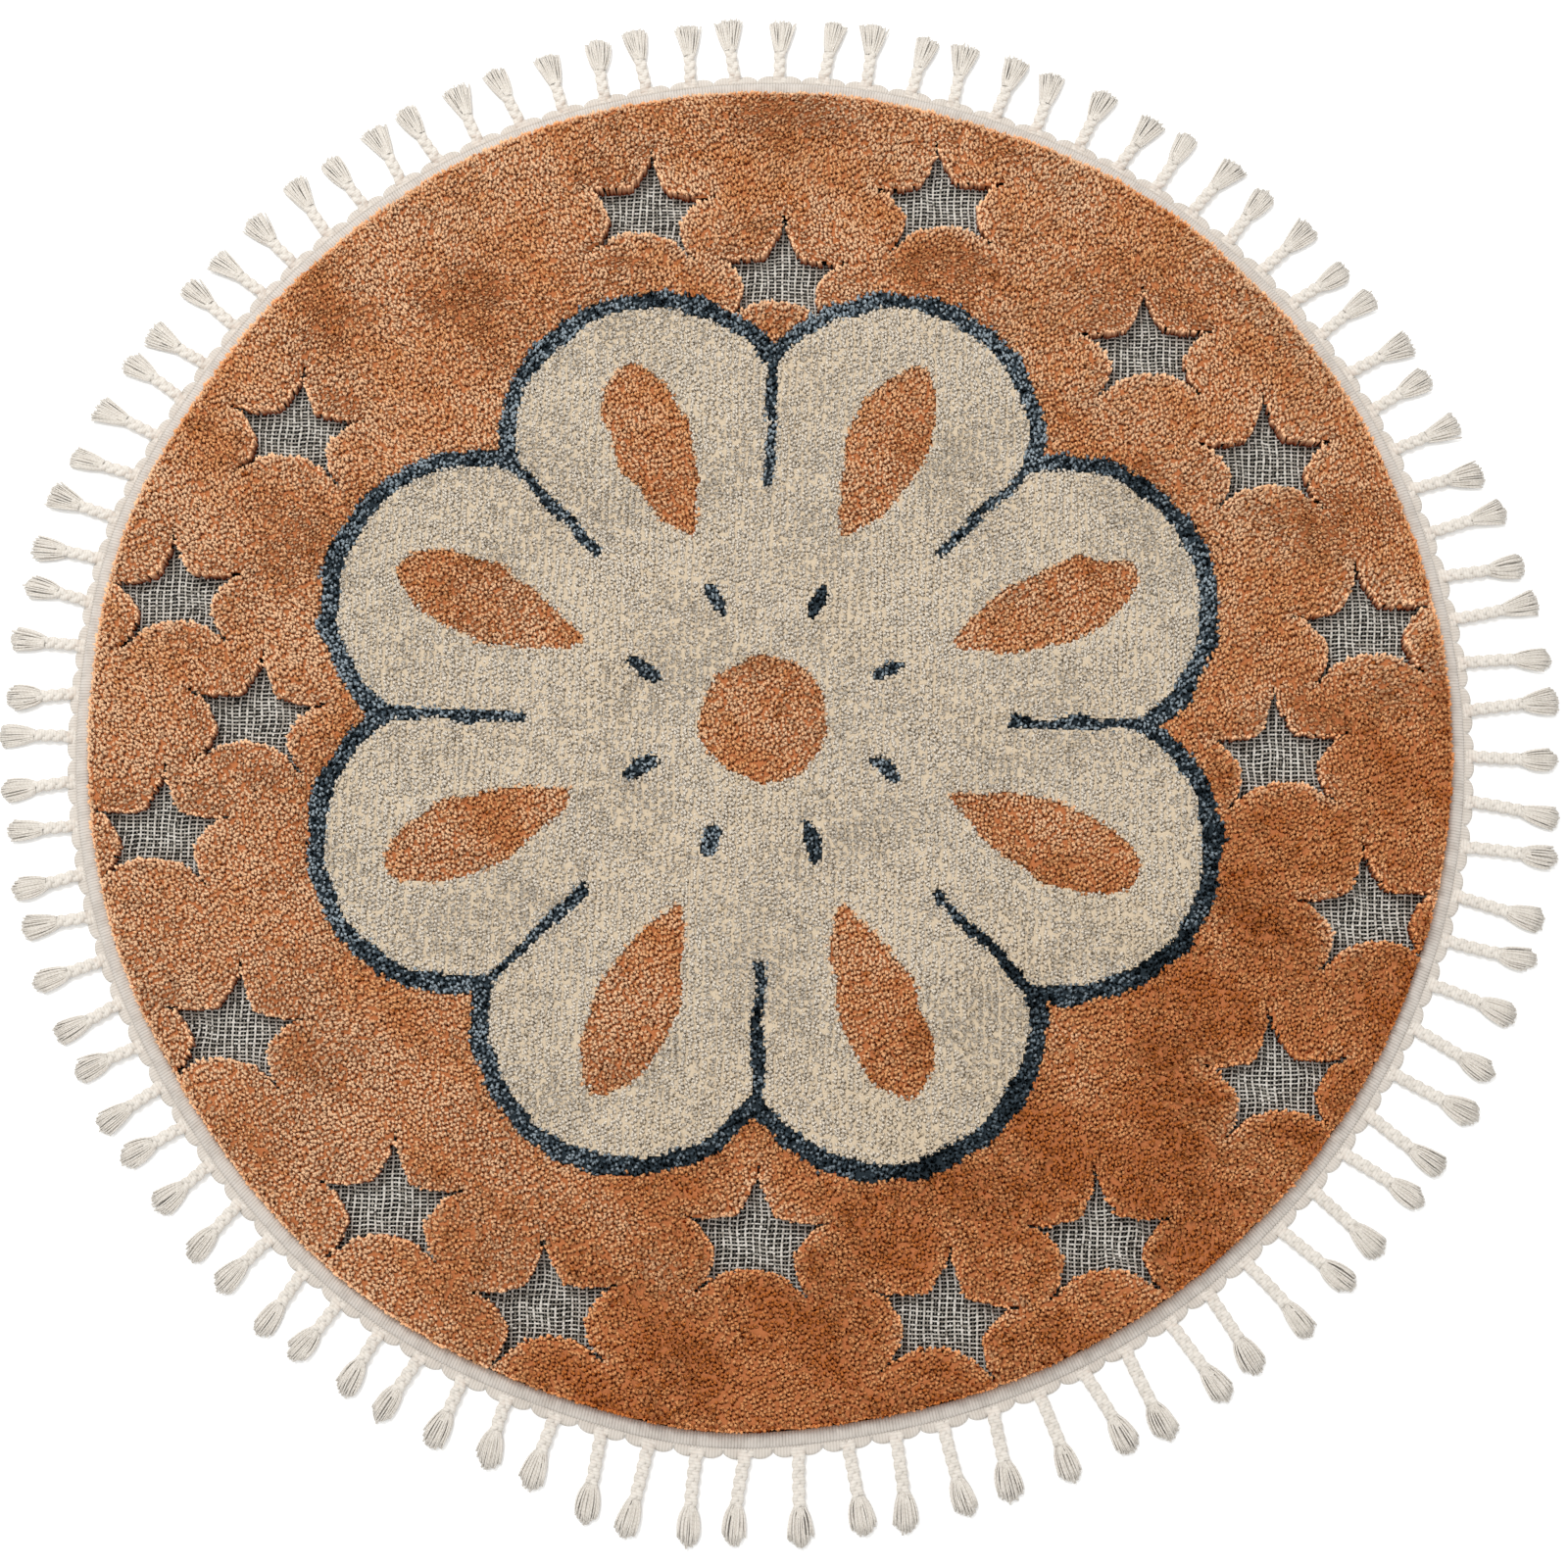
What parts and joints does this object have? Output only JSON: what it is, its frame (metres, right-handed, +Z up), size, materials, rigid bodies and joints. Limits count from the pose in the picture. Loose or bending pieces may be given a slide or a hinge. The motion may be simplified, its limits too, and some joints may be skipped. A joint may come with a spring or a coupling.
{
  "type": "round kids rug",
  "caption": "Round pile rug for a child's room, with sunk stars, a bound rim and a fringe of plaited tassels, lying flat on the floor.",
  "frame": {"origin": "centre of the rug's flat underside, on the floor", "axes": "+Z up out of the pile, +Y towards the top of the design, +X to its right"},
  "size_m": [1.3293, 1.3284, 0.0222],
  "materials": {
    "pile_rug": "high cut pile of soft synthetic yarn on a woven ground",
    "binding_tape": "ribbed woven cotton tape, matt",
    "fringe_cotton": "undyed cotton yarn, plaited and cut"
  },
  "bodies": {
    "root": {"rug_body": "pile_rug", "edge_binding": "binding_tape", "fringe": "fringe_cotton"}
  },
  "joints": []
}
